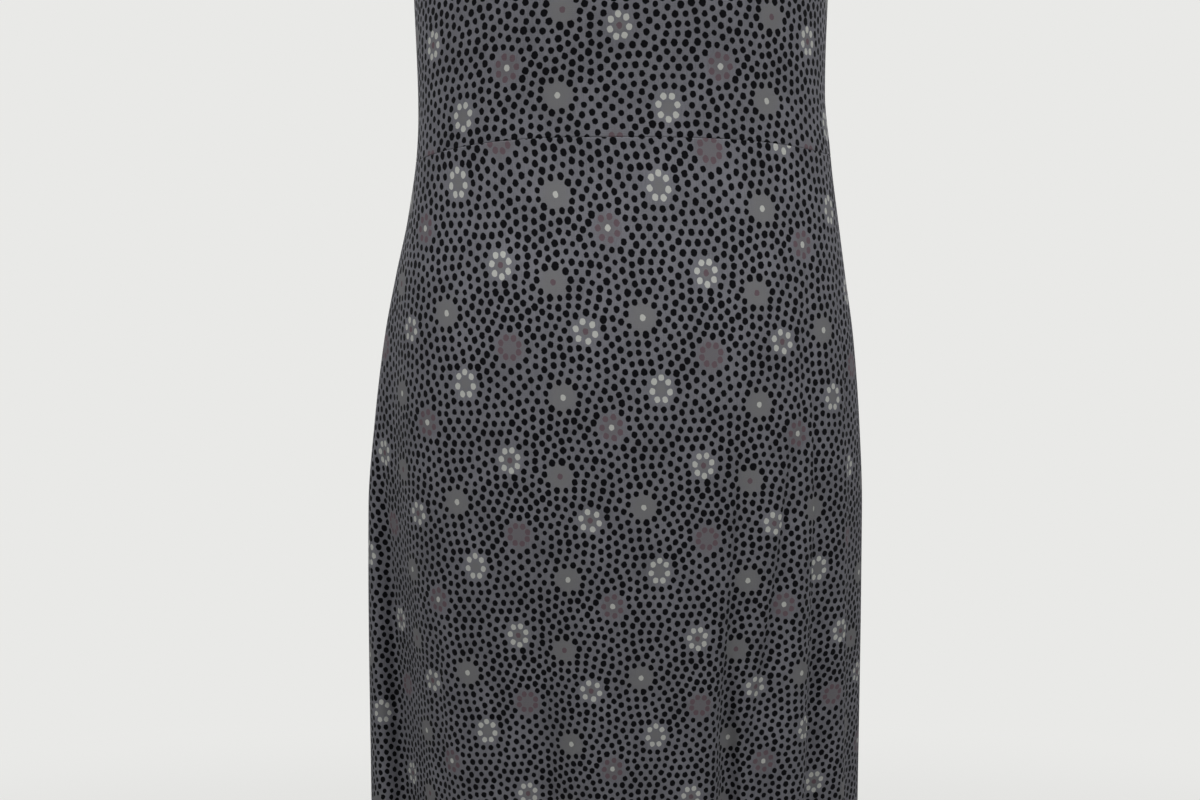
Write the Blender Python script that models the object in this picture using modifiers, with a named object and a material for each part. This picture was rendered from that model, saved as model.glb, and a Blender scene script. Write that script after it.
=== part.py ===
"""A tank dress of printed jersey, hollow, in the form that it takes when it is worn.

Four pieces of cloth: a front and a back bodice, a front and a back skirt. They meet at the shoulder
seams, the side seams and a waist seam that rises at the centre front. Each is one wall of cloth.

The dress faces -Y and Z is up. The origin is between the two straps, at the height at which they rest on
the shoulders. A place on the cloth is given by its angle round the dress, from the centre front (0) to
the wearer's left side (+90 degrees) and right side (-90), and by its drop below the shoulders. The back
is given by the same angles, counted from the centre back.
"""

import math
from collections import namedtuple

import bpy
import numpy as np

COLLECTION = "tank_dress"

# The cut
CLOTH = 0.0014  # the cloth, with the loft of its knit
SEAM = 0.0003  # between two pieces at a seam
WAIST = 0.400  # drop of the waist seam at the centre front
WAIST_ARCH = 0.0143  # how much lower the waist seam lies at the sides
WAIST_TILT = 0.0018  # and how much of that is added at the right side and taken off at the left
HEM = 1.030  # drop of the hem
NECK_FRONT = 0.130  # drop of the neckline at the centre front
NECK_BACK = 0.060  # and at the centre back
STRAP_INNER = math.radians(20.5)  # where the strap's edges cross the shoulder seam
STRAP_OUTER = math.radians(37.0)
UNDERARM = 0.205  # drop of the armhole at the side seam
ARMHOLE_FLARE = 1.25  # above 1, the armhole runs down more steeply before it turns out to the side
SHOULDER_SLOPE = math.tan(math.radians(20))
SHOULDER_MIDDLE = 0.095  # distance from the centre at which the strap rests at a drop of 0
SHOULDER_REACH = 0.070  # drop over which the shoulders' slope fades out
SHOULDER_ROUND = 0.020  # rounds the slope's ridge at the centre
SQUARENESS = 0.06  # how much fuller than an ellipse a level section is
LEAST_DEPTH = 0.01  # keeps the folds' direction steady where the form runs out to nothing, at the strap tops

# The form that the dress hangs on: level sections, from the shoulders to the hem
Ring = namedtuple("Ring", "drop half_width front back sideways")
RINGS = (
    Ring(0.000, 0.190, 0.000, 0.000, 0.0000),
    Ring(0.004, 0.190, 0.019, 0.020, 0.0000),
    Ring(0.016, 0.189, 0.039, 0.043, 0.0000),
    Ring(0.045, 0.186, 0.062, 0.072, 0.0000),
    Ring(0.090, 0.179, 0.085, 0.093, -0.0002),
    Ring(0.140, 0.168, 0.105, 0.103, -0.0005),
    Ring(0.205, 0.153, 0.121, 0.105, -0.0010),
    Ring(0.255, 0.147, 0.123, 0.101, -0.0015),
    Ring(0.310, 0.1435, 0.115, 0.094, -0.0020),
    Ring(0.370, 0.1420, 0.104, 0.088, -0.0015),
    Ring(0.412, 0.1448, 0.100, 0.089, 0.0000),
    Ring(0.455, 0.1508, 0.102, 0.094, -0.0005),
    Ring(0.495, 0.1580, 0.107, 0.102, -0.0022),
    Ring(0.540, 0.1655, 0.111, 0.112, -0.0034),
    Ring(0.600, 0.1718, 0.113, 0.121, -0.0047),
    Ring(0.660, 0.1755, 0.113, 0.124, -0.0058),
    Ring(0.730, 0.1758, 0.111, 0.122, -0.0060),
    Ring(0.850, 0.1752, 0.107, 0.117, -0.0060),
    Ring(1.030, 0.1740, 0.104, 0.114, -0.0060),
)

# The soft folds in which the skirt falls below the hips: ridges stand out, troughs (a negative depth) in. Angle
# and the reach to either side are in degrees, and a fold may be steep on one side. It starts at one drop, is
# full at another, and leans by some degrees on its way from the first to the hem.
Fold = namedtuple("Fold", "angle left right depth start full lean")
FRONT_FOLDS = (
    Fold(-78, 9.5, 17.0, -0.019, 0.42, 0.78, 25),
    Fold(-44, 7.0, 8.0, 0.003, 0.60, 0.90, 18),
    Fold(-16, 8.0, 4.5, -0.007, 0.62, 0.95, 3),
    Fold(-5, 5.0, 9.0, 0.004, 0.64, 0.95, 2),
    Fold(20, 9.0, 3.5, 0.003, 0.60, 0.88, 1),
    Fold(27, 4.0, 8.0, -0.007, 0.60, 0.86, 0),
    Fold(44, 7.0, 4.0, 0.003, 0.55, 0.85, 0),
    Fold(52, 4.5, 8.0, -0.0055, 0.50, 0.84, -3),
    Fold(62, 5.0, 4.0, 0.002, 0.52, 0.80, 0),
    Fold(71, 5.0, 8.0, -0.005, 0.48, 0.80, 0),
)
BACK_FOLDS = (
    Fold(-70, 11.0, 7.5, -0.014, 0.50, 0.90, 10),
    Fold(-50, 6.0, 6.0, 0.005, 0.56, 0.90, 9),
    Fold(-34, 8.0, 4.0, -0.010, 0.62, 0.92, 3),
    Fold(-11, 6.0, 8.0, 0.006, 0.66, 0.95, 1),
    Fold(6, 4.0, 8.0, -0.010, 0.63, 0.93, 2),
    Fold(25, 6.0, 4.5, 0.005, 0.66, 0.95, 0),
    Fold(36, 3.5, 8.0, -0.010, 0.62, 0.90, -2),
    Fold(54, 7.0, 4.0, 0.004, 0.60, 0.90, 0),
    Fold(66, 4.0, 9.0, -0.010, 0.52, 0.86, 1),
)

# How finely the pieces are divided
NECK_COLUMNS = 5
STRAP_COLUMNS = 3
ARMHOLE_COLUMNS = 8
TURN_CLOSER = 1.2  # above 0, the armhole's columns stand closer where it turns out under the arm
BODICE_ROWS = 11
SKIRT_COLUMNS = 56
SKIRT_ROWS = 10
SEAM_STRIP = 0.014  # share of a piece's width or length taken by the narrow strip along each seam
STRAP_FROM = 0.28  # shares of the half waist from which the strap's columns rise
STRAP_TO = 0.34
ARMHOLE_FAN = 1.5  # above 1, the armhole's first columns stand closer at the waist, so that no columns cross

# The printed jersey, as a plain colour
GREY_PRINT = (0.105, 0.105, 0.120, 1.0)
CLOTH_ROUGHNESS = 0.85


def smooth(x, xs, ys):
    """The height at x of the smooth curve through (xs, ys), which never swings past its points."""
    xs, ys = np.asarray(xs, float), np.asarray(ys, float)
    steps = np.diff(xs)
    rises = np.diff(ys) / steps
    before, after = rises[:-1], rises[1:]
    same_way = before * after > 0
    mean = 2 * before * after / np.where(same_way, before + after, 1)
    slopes = np.concatenate([rises[:1], np.where(same_way, mean, 0), rises[-1:]])
    k = np.clip(np.searchsorted(xs, x) - 1, 0, len(steps) - 1)
    t = (x - xs[k]) / steps[k]
    return (
        ys[k] * (1 + 2 * t) * (1 - t) ** 2
        + slopes[k] * steps[k] * t * (1 - t) ** 2
        + ys[k + 1] * t**2 * (3 - 2 * t)
        + slopes[k + 1] * steps[k] * t**2 * (t - 1)
    )


def ring(drop, column):
    """One column of the table of rings. It is read against the drop's root, which rounds the shoulders."""
    roots = [math.sqrt(r.drop) for r in RINGS]
    return smooth(np.sqrt(drop), roots, [getattr(r, column) for r in RINGS])


def eased(x, start, end):
    """0 before start, 1 after end, and a smooth S between them."""
    t = np.clip((x - start) / (end - start), 0, 1)
    return t * t * (3 - 2 * t)


def swell(angle, drop, folds):
    """How far the folds carry the cloth out of the smooth form: each a bell across, with its own reach to either
    side, which grows from its start until it is full."""
    out = np.zeros_like(angle)
    for fold in folds:
        fallen = np.clip((drop - fold.start) / (HEM - fold.start), 0, 1)
        middle = np.radians(fold.angle + fold.lean * fallen)
        reach = np.radians(np.where(angle < middle, fold.left, fold.right))
        out += fold.depth * eased(drop, fold.start, fold.full) * np.exp(-(((angle - middle) / reach) ** 2))
    return out


def on_dress(angle, drop, side, folds):
    """The points of the cloth's outer face. side is -1 for the front and 1 for the back."""
    width = ring(drop, "half_width")
    depth = ring(drop, "front" if side < 0 else "back")
    across, ahead = np.sin(angle), np.cos(angle)
    out = swell(angle, drop, folds)
    steady = np.maximum(depth, LEAST_DEPTH)
    slant = np.hypot(across / width, ahead / steady)
    x = width * across * (1 + SQUARENESS * ahead**2) + out * across / width / slant
    y = depth * ahead * (1 + SQUARENESS * across**2) + out * ahead / steady / slant
    lowered = SHOULDER_SLOPE * np.exp(-((drop / SHOULDER_REACH) ** 2))
    z = -drop - lowered * (np.hypot(x, SHOULDER_ROUND) - SHOULDER_MIDDLE)
    return np.stack([x + ring(drop, "sideways"), side * (y + SEAM / 2), z], axis=-1)


def waist_drop(angle, side):
    """The drop of the waist seam: level over the front's middle, lower at the sides, and level behind."""
    across = np.sin(angle)
    fallen = np.abs(across) ** 3 if side < 0 else 1
    return WAIST + (WAIST_ARCH - WAIST_TILT * across) * fallen


def with_strips(shares):
    """The shares from 0 to 1, with a narrow strip added at each end, so that the wall ends square there."""
    return np.concatenate([[0, SEAM_STRIP], shares[1:-1], [1 - SEAM_STRIP, 1]])


def bodice_columns(neck_drop):
    """For each column of the bodice: its share of the half waist, and the angle and drop at which it ends.

    From the centre they end on the neckline, a quarter of an ellipse, then on the shoulder seam, then on
    the armhole, which starts straight down and turns out to the side seam.
    """
    step = np.append(np.linspace(0, 1, NECK_COLUMNS + 1)[:-1], [1 - SEAM_STRIP, 1])
    share = STRAP_FROM * step
    fallen = np.cos(step * math.pi / 2) ** 2
    angle, drop = STRAP_INNER * np.sqrt(1 - fallen**2), neck_drop * fallen

    step = np.linspace(0, 1, STRAP_COLUMNS + 1)[1:]
    share = np.append(share, STRAP_FROM + (STRAP_TO - STRAP_FROM) * step)
    angle = np.append(angle, STRAP_INNER + (STRAP_OUTER - STRAP_INNER) * step)
    drop = np.append(drop, 0 * step)

    step = with_strips(np.linspace(0, 1, ARMHOLE_COLUMNS + 1))[1:]
    share = np.append(share, STRAP_TO + (1 - STRAP_TO) * step**ARMHOLE_FAN)
    # The columns stand closer over the round shoulder and at the turn under the arm.
    turn = step**2 * (1 + TURN_CLOSER * (1 - step)) * math.pi / 2
    outwards = (1 - np.cos(turn)) ** ARMHOLE_FLARE
    angle = np.append(angle, STRAP_OUTER + (math.pi / 2 - STRAP_OUTER) * outwards)
    drop = np.append(drop, UNDERARM * np.sin(turn))

    def both_halves(values, sign):
        return np.concatenate([sign * values[:0:-1], values])

    return both_halves(share, -1), both_halves(angle, -1), both_halves(np.abs(drop), 1)


def bodice(side, neck_drop):
    """The bodice's outer face as a grid: columns fan up from the waist seam to its upper edge."""
    share, top_angle, top_drop = bodice_columns(neck_drop)
    angle = share * math.pi / 2
    rise = with_strips(np.linspace(0, 1, BODICE_ROWS))[:, None]
    root = np.sqrt(waist_drop(angle, side) - SEAM / 2)
    drop = (root + (np.sqrt(top_drop) - root) * rise) ** 2
    return on_dress(angle + (top_angle - angle) * rise, drop, side, ())


def skirt(side, folds):
    """The skirt's outer face as a grid: columns run down from the waist seam to the hem."""
    angle = (with_strips(np.linspace(0, 1, SKIRT_COLUMNS)) * 2 - 1) * math.pi / 2
    fall = with_strips(np.linspace(0, 1, SKIRT_ROWS))[::-1, None]
    top = waist_drop(angle, side) + SEAM / 2
    drop = top + (HEM - top) * fall
    return on_dress(np.broadcast_to(angle, drop.shape), drop, side, folds)


def cloth_material(name, colour):
    material = bpy.data.materials.new(name)
    material.use_nodes = True
    shader = material.node_tree.nodes["Principled BSDF"]
    shader.inputs["Base Color"].default_value = colour
    shader.inputs["Roughness"].default_value = CLOTH_ROUGHNESS
    shader.inputs["Metallic"].default_value = 0.0
    return material


def cloth_piece(name, grid, side):
    """A piece of cloth: the grid as a surface facing out, made a wall by Solidify inwards."""
    rows, columns = grid.shape[:2]
    corner = (np.arange(rows - 1)[:, None] * columns + np.arange(columns - 1)).reshape(-1, 1)
    around = np.array([0, 1, columns + 1, columns])
    faces = corner + (around if side < 0 else around[::-1])
    mesh = bpy.data.meshes.new(name)
    mesh.from_pydata(grid.reshape(-1, 3).tolist(), [], faces.tolist())
    mesh.shade_smooth()
    mesh.materials.append(cloth_material(f"{name}_jersey", GREY_PRINT))
    piece = bpy.data.objects.new(name, mesh)
    bpy.data.collections[COLLECTION].objects.link(piece)
    wall = piece.modifiers.new("cloth", "SOLIDIFY")
    wall.thickness = CLOTH
    wall.offset = -1
    return piece


def clear_scene():
    for thing in list(bpy.data.objects):
        bpy.data.objects.remove(thing)


def main():
    clear_scene()
    bpy.context.scene.collection.children.link(bpy.data.collections.new(COLLECTION))
    cloth_piece("front_bodice", bodice(-1, NECK_FRONT), -1)
    cloth_piece("back_bodice", bodice(1, NECK_BACK), 1)
    cloth_piece("front_skirt", skirt(-1, FRONT_FOLDS), -1)
    cloth_piece("back_skirt", skirt(1, BACK_FOLDS), 1)


main()
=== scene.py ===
"""A tank dress of printed jersey, hollow, in the form that it takes when it is worn, in a plain pale studio.

Each of its four pieces of cloth is a thin shell on the form of the solid that it stands for. A place on the
cloth is given by its angle round the dress, from the centre front or back, and by the square root of its drop
below the shoulders. The print is laid by a small chart that repeats, in the cloth's own two directions.
"""

import math
from collections import namedtuple

import bpy
import numpy as np
from bpy.props import FloatProperty, FloatVectorProperty, IntProperty, PointerProperty
from bpy.types import Operator, Panel, PropertyGroup
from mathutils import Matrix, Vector


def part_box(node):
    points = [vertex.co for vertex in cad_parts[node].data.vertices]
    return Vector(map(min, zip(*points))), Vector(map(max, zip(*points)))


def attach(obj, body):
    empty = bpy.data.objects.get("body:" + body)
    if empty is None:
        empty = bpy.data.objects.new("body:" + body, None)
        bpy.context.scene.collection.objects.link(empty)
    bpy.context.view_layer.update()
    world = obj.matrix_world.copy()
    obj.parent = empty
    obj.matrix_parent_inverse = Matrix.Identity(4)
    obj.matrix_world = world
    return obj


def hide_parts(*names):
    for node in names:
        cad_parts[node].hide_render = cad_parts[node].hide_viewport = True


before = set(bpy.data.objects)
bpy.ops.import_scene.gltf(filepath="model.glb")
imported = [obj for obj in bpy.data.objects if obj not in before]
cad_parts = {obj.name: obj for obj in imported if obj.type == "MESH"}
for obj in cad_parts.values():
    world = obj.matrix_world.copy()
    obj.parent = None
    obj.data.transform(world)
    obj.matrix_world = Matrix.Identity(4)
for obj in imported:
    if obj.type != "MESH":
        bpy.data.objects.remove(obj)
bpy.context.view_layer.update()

bl_info = {
    "name": "Printed Jersey Tank Dress",
    "version": (1, 0, 0),
    "blender": (4, 5, 0),
    "location": "3D View > Sidebar > Tank Dress",
    "description": "Makes the cloth and stitching of a printed jersey tank dress, and a plain studio",
    "category": "Add Mesh",
}

# The cut, in metres and radians, as in the solids that this cloth stands for
SIDE = math.pi / 2  # angle of the side seams
SEAM = -0.0001  # between two pieces at a seam, where their rolled edges press into each other
WAIST = 0.400  # drop of the waist seam at the centre front
WAIST_ARCH = 0.0143  # how much lower it lies at the sides
WAIST_TILT = 0.0018  # added to that at the right side and taken off at the left
HEM = -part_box("front_skirt")[0][2]  # drop of the hem
NECK_FRONT = 0.130  # drop of the neckline at the centre front
NECK_BACK = 0.060  # and at the centre back
STRAP_INNER = math.radians(20.5)  # where the strap's edges cross the shoulder seam
STRAP_OUTER = math.radians(37.0)
UNDERARM = 0.205  # drop of the armhole at the side seam
ARMHOLE_FLARE = 1.25  # above 1, the armhole runs down more steeply before it turns out to the side
ARMHOLE_TURN = 1.2  # above 0, its turn is spread more evenly along it
SHOULDER_SLOPE = math.tan(math.radians(20))
SHOULDER_MIDDLE = 0.095  # distance from the centre at which the strap rests at a drop of 0
SHOULDER_REACH = 0.070  # drop over which the shoulders' slope fades out
SHOULDER_ROUND = 0.020  # rounds the slope's ridge at the centre
SQUARENESS = 0.06  # how much fuller than an ellipse a level section is
LEAST_DEPTH = 0.01  # keeps the folds' direction steady where the form runs out to nothing

Ring = namedtuple("Ring", "drop half_width front back sideways")
RINGS = (
    Ring(0.000, 0.190, 0.000, 0.000, 0.0000),
    Ring(0.004, 0.190, 0.019, 0.020, 0.0000),
    Ring(0.016, 0.189, 0.039, 0.043, 0.0000),
    Ring(0.045, 0.186, 0.062, 0.072, 0.0000),
    Ring(0.090, 0.179, 0.085, 0.093, -0.0002),
    Ring(0.140, 0.168, 0.105, 0.103, -0.0005),
    Ring(0.205, 0.153, 0.121, 0.105, -0.0010),
    Ring(0.255, 0.147, 0.123, 0.101, -0.0015),
    Ring(0.310, 0.1435, 0.115, 0.094, -0.0020),
    Ring(0.370, 0.1420, 0.104, 0.088, -0.0015),
    Ring(0.412, 0.1448, 0.100, 0.089, 0.0000),
    Ring(0.455, 0.1508, 0.102, 0.094, -0.0005),
    Ring(0.495, 0.1580, 0.107, 0.102, -0.0022),
    Ring(0.540, 0.1655, 0.111, 0.112, -0.0034),
    Ring(0.600, 0.1718, 0.113, 0.121, -0.0047),
    Ring(0.660, 0.1755, 0.113, 0.124, -0.0058),
    Ring(0.730, 0.1758, 0.111, 0.122, -0.0060),
    Ring(0.850, 0.1752, 0.107, 0.117, -0.0060),
    Ring(1.030, 0.1740, 0.104, 0.114, -0.0060),
)

# The soft folds in which the skirt falls below the hips. Ridges stand out, and troughs, with a negative
# depth, lie in. The angle and the reach to either side are in degrees, and a fold may be steep on one side.
# It starts at one drop, is full at another, and leans by some degrees on its way from the first to the hem.
Fold = namedtuple("Fold", "angle left right depth start full lean")
FRONT_FOLDS = (
    Fold(-78, 9.5, 17.0, -0.019, 0.42, 0.78, 25),
    Fold(-44, 7.0, 8.0, 0.003, 0.60, 0.90, 18),
    Fold(-16, 8.0, 4.5, -0.007, 0.62, 0.95, 3),
    Fold(-5, 5.0, 9.0, 0.004, 0.64, 0.95, 2),
    Fold(20, 9.0, 3.5, 0.003, 0.60, 0.88, 1),
    Fold(27, 4.0, 8.0, -0.007, 0.60, 0.86, 0),
    Fold(44, 7.0, 4.0, 0.003, 0.55, 0.85, 0),
    Fold(52, 4.5, 8.0, -0.0055, 0.50, 0.84, -3),
    Fold(62, 5.0, 4.0, 0.002, 0.52, 0.80, 0),
    Fold(71, 5.0, 8.0, -0.005, 0.48, 0.80, 0),
)
BACK_FOLDS = (
    Fold(-70, 11.0, 7.5, -0.014, 0.50, 0.90, 10),
    Fold(-50, 6.0, 6.0, 0.005, 0.56, 0.90, 9),
    Fold(-34, 8.0, 4.0, -0.010, 0.62, 0.92, 3),
    Fold(-11, 6.0, 8.0, 0.006, 0.66, 0.95, 1),
    Fold(6, 4.0, 8.0, -0.010, 0.63, 0.93, 2),
    Fold(25, 6.0, 4.5, 0.005, 0.66, 0.95, 0),
    Fold(36, 3.5, 8.0, -0.010, 0.62, 0.90, -2),
    Fold(54, 7.0, 4.0, 0.004, 0.60, 0.90, 0),
    Fold(66, 4.0, 9.0, -0.010, 0.52, 0.86, 1),
)

# The creases, each a soft trough or ridge: its middle; half its length and its widths to the left and right,
# in metres; its tilt in degrees from upright, leaning right as it rises; and its height out of the cloth.
Crease = namedtuple("Crease", "angle drop length left right tilt height")
FRONT_BODICE_CREASES = (
    Crease(66, 0.236, 0.040, 0.0080, 0.0080, -58, -0.0016),
    Crease(70, 0.262, 0.034, 0.0070, 0.0070, -66, -0.0011),
    Crease(-67, 0.240, 0.044, 0.0085, 0.0085, 54, -0.0017),
    Crease(-71, 0.271, 0.030, 0.0070, 0.0070, 63, -0.0010),
    Crease(31, 0.105, 0.046, 0.0090, 0.0090, -16, -0.0010),
    Crease(-29, 0.112, 0.050, 0.0095, 0.0095, 14, -0.0011),
)
BACK_BODICE_CREASES = (
    Crease(-12, 0.352, 0.060, 0.0075, 0.0075, 86, -0.0019),
    Crease(16, 0.371, 0.052, 0.0070, 0.0070, 95, -0.0016),
    Crease(-30, 0.384, 0.036, 0.0060, 0.0060, 82, -0.0010),
    Crease(44, 0.345, 0.034, 0.0070, 0.0070, 104, -0.0012),
    Crease(63, 0.238, 0.042, 0.0085, 0.0085, -50, -0.0014),
    Crease(-65, 0.246, 0.040, 0.0080, 0.0080, 56, -0.0015),
)
FRONT_SKIRT_CREASES = (
    Crease(-70, 0.800, 0.170, 0.0100, 0.0140, -9, -0.0115),
    Crease(-42, 0.790, 0.060, 0.0080, 0.0040, -3, -0.0014),
    Crease(-14, 0.850, 0.170, 0.0110, 0.0045, -3, -0.0020),
    Crease(-26, 0.810, 0.050, 0.0070, 0.0060, 0, -0.0018),
    Crease(26, 0.690, 0.090, 0.0030, 0.0120, 3, -0.0022),
    Crease(27, 0.850, 0.090, 0.0120, 0.0035, -3, -0.0065),
    Crease(36, 0.715, 0.100, 0.0034, 0.0140, 9, -0.0040),
    Crease(50, 0.660, 0.160, 0.0030, 0.0100, 1, -0.0018),
    Crease(50, 0.830, 0.090, 0.0040, 0.0110, 3, -0.0030),
    Crease(68, 0.640, 0.150, 0.0035, 0.0080, 0, -0.0014),
    Crease(34, 0.930, 0.100, 0.0040, 0.0090, 1, -0.0030),
    Crease(47, 0.560, 0.050, 0.0050, 0.0100, 6, -0.0018),
    Crease(3, 0.960, 0.080, 0.0090, 0.0060, 2, -0.0026),
    Crease(-32, 0.960, 0.090, 0.0090, 0.0050, -3, -0.0026),
)
BACK_SKIRT_CREASES = (
    Crease(-64, 0.700, 0.120, 0.0140, 0.0070, -5, -0.0036),
    Crease(-46, 0.610, 0.060, 0.0100, 0.0070, 3, -0.0018),
    Crease(-34, 0.820, 0.140, 0.0120, 0.0045, -1, -0.0034),
    Crease(-24, 0.930, 0.090, 0.0090, 0.0050, 1, -0.0026),
    Crease(7, 0.860, 0.160, 0.0045, 0.0120, 1, -0.0040),
    Crease(18, 0.920, 0.110, 0.0060, 0.0090, 1, -0.0026),
    Crease(36, 0.800, 0.150, 0.0040, 0.0120, -2, -0.0040),
    Crease(47, 0.740, 0.080, 0.0040, 0.0110, 7, -0.0030),
    Crease(52, 0.600, 0.050, 0.0080, 0.0080, -2, -0.0018),
    Crease(66, 0.740, 0.150, 0.0040, 0.0100, 1, -0.0036),
)

# How finely the cloth is divided
EDGE_COLUMNS = (40, 14, 70)  # along half the neckline, the shoulder seam and the armhole
EDGE_SHARES = (0, 0.306, 0.336, 0.963)  # shares of the half waist between which they rise
EDGE_FANS = (0.74, 1, 2.2)  # how their shares grow along each, so that no columns cross
SKIRT_COLUMNS = 300
BODICE_ROWS = 112
SKIRT_ROWS = 112
FOLD_STEPS = 6  # round the half circle of a folded edge
TURNED_ROWS = 5  # along what is turned in, and over it as far as the stitches
LINE_SAMPLES = 400  # along each line of the cut
MITRE_REACH = 0.045  # stretch over which the turned edge narrows to a mitre at the strap's corners
SMALL_STEP = 1e-4  # for the slopes of the form
TINY = 1e-9  # keeps a distance of 0 out of a division
DECIMALS = 6  # to which two rows have to agree to be taken as one
# Columns along a side seam and rows along a waist seam, by their distance from it, and rows beside a row of
# stitches and beside the end of what is turned in, in metres
SIDE_STRIP = np.array([0, 0.05, 0.20, 0.45, 0.90, 2.0, 3.5]) / 1000
SIDE_GAP = 0.0015  # from that strip to the next column
SEAM_ROWS = np.array([5.0, 3.5, 2.2, 1.4]) / 1000
STITCH_ROWS = np.array([-1.0, -0.5, 0, 0.5, 1.0]) / 1000
BEFORE_STITCHES = 0.0016  # from the first stitches to the rows before them
TURNING_ROWS = np.array([-0.5, 0.6, 1.7, 3.0]) / 1000
LIFT_FADES = (-0.0005, 0.0017)  # where the face comes down beside the end of what is turned in
DIMPLE_REACH = 0.0006  # half the width of the trough along a row of stitches

# Each wave of the cloth's unevenness: its height, its radians for a radian round and for a metre down, and
# its start. The wave that crosses it has fewer radians down, by the share below.
UNEVENNESS = (
    (0.00045, 5.0, 21.0, 0.4),
    (0.00035, -8.0, 34.0, 2.1),
    (0.00020, 13.0, 57.0, 4.0),
)
CROSSING_WAVE = 0.7

# How the cloth's face and reverse, and the rim between them, share the flat map that is baked, in its widths
FLAT_FROM = np.array([0.01, 0.01])
FACE_SIZE = np.array([0.70, 0.98])
REVERSE_FROM = np.array([0.72, 0.0])
REVERSE_SIZE = np.array([0.26, 0.98])
RIM_WIDTH = 0.006
RIM_FROM = 0.4999  # from a map's middle, where its edge begins
SHARP = math.radians(60)  # an edge that turns by more than this is drawn sharp

# A stitch's rings: the place along it in stitch lengths, and its width and how deep it lies in threads
STITCH_SHAPE = (
    (-0.50, 0.25, 1.10),
    (-0.34, 0.90, 0.15),
    (0.00, 1.00, 0.00),
    (0.34, 0.90, 0.15),
    (0.50, 0.25, 1.10),
)
STITCH_SIDES = 6
STITCH_END = 0.0015  # from a seam to the first stitch
PLY = 0.0005  # between the plies of its thread
PLY_PAINTED_SHADE = 0.7  # painted shade: how dark the thread's colour is made between them, where shade falls in the groove

# The materials' scales, in metres
REPEAT = 0.13  # the print's, by which the others are turned into repeats
WALE = 0.0011  # from one rib of the knit to the next
COURSE = 0.0013  # and from one row of stitches to the next
BLEED_SIZE = 0.0019  # over which a bled outline wanders
YARN_WIDTH = 0.001  # of a streak in the dye
YARN_LENGTH = 0.006
PATCH = 0.03  # of cloth in which the streaks are lighter or darker
FLOOR_GRAIN = 0.4  # patches of the floor
# Their strengths, as shares where nothing else is said
BLEED = 0.0075  # how far a bled outline wanders, in repeats
STREAK = 0.17  # how much darker or lighter than the ground a streak is
TONE_FROM, TONE_TO = 0.7, 1.3  # between which the sum of streak and patch goes from dark to light
COURSE_HEIGHT = 0.35  # beside a wale's
FUZZ_HEIGHT = 1.2
LOBES = 5  # round a blot
LOBE_DEPTH = 0.10  # of its radius
BLOT_SOFTNESS = 0.60  # half the width of an outline, in radii
DOT_SOFTNESS = 0.10
BLOT_THROUGH = 0.3  # how much of an ink shows on the cloth's reverse
BLACK_THROUGH = 0.5
PETAL_THROUGH = 0.4
FLOOR_SHADE = 0.985  # how dark the floor's darkest patches are

# The studio, in metres
LENS = 70.2  # millimetres
CAMERA_PLACE = (-0.0165, -1.65, -0.413)
CAMERA_PITCH = 5.93  # degrees below level
FLOOR_LEVEL = -1.5
FLOOR_HALF = 8.0
FADE_FROM = 0.5  # from the floor's middle, where it begins to pass into the backdrop's colour
FADE_TO = 2.8
# The lamps face the origin. Each stands so many degrees round from the front, to the wearer's left if more
# than 0, and above level, at a distance, and is a disk with this width and power.
Lamp = namedtuple("Lamp", "name turn rise distance size watts")
LAMPS = (
    Lamp("left", -42, 34, 1.3, 1.0, 20),
    Lamp("right", 42, 34, 1.3, 1.0, 21),
    Lamp("back_left", -160, 30, 2.0, 1.2, 40),
    Lamp("back_right", 160, 30, 2.0, 1.2, 40),
    Lamp("top", 0, 88, 2.0, 1.5, 7),
)

# The repeat's chart, in parts of the repeat: to the right and down
Motif = namedtuple("Motif", "kind across down")
CHART = (
    Motif("pale_ring", 0.00, 0.00),
    Motif("pale_ring_dotted", 0.22, 0.40),
    Motif("round_ring_dotted", 0.63, 0.72),
    Motif("grey_blot", 0.51, 0.06),
    Motif("grey_blot", 0.91, 0.64),
    Motif("grey_blot_mauve", 0.48, 0.48),
    Motif("mauve_ring", 0.75, 0.21),
    Motif("mauve_blot", 0.25, 0.81),
)
# For each kind: how many petals, their ink, half the width and height of their ring, the ink of the dot in
# the middle, the blot under them with its radius, and the room that is kept free of black dots.
Kind = namedtuple("Kind", "petals petal_ink wide tall middle_ink blot reach room")
KINDS = {
    "pale_ring": Kind(7, "pale", 0.045, 0.060, None, "grey", 0.028, 0.092),
    "pale_ring_dotted": Kind(7, "pale", 0.045, 0.057, "mauve", "grey", 0.026, 0.090),
    "round_ring_dotted": Kind(6, "pale", 0.049, 0.050, "mauve", "grey", 0.026, 0.090),
    "grey_blot": Kind(0, None, 0, 0, "pale", "grey", 0.072, 0.092),
    "grey_blot_mauve": Kind(0, None, 0, 0, "mauve", "grey", 0.070, 0.091),
    "mauve_ring": Kind(7, "mauve", 0.048, 0.057, "pale", "mauve", 0.050, 0.092),
    "mauve_blot": Kind(8, "mauve", 0.050, 0.052, None, "mauve", 0.060, 0.088),
}
INKS = ("black", "pale", "mauve")
BLOTS = ("grey", "mauve")
NEAREST = 5  # black dots and petals that a face of the cloth may show
DOT_TALLNESS = 1.20  # a dot's height for its width
PETAL_SIZE = 0.95  # beside a black dot
MIDDLE_SIZE = 0.90
LEAST_DOT, GREATEST_DOT = 0.76, 1.26  # a black dot's size beside the mean
RING_TURN = 0.37  # how much each motif's ring is turned past the last one's, in petals
# How the black dots are laid: the reach of a dot's push, how far they move in a round, and how much harder
# than a dot a motif pushes
PUSH_REACH = 0.075
PUSH_STEP = 0.012
ROOM_PUSH = 1.5
BLOCK = 4096  # places whose nearest dots are sought at once
TABLE_ROWS = 421  # of the table of places in the print
TABLE_COLUMNS = 721
TABLE_END = 1.001  # taken from both, so that the next row or column is always there
TOP_ROOT = 0.01  # nearer than this to the shoulder line, no direction leads out of the cloth

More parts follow.
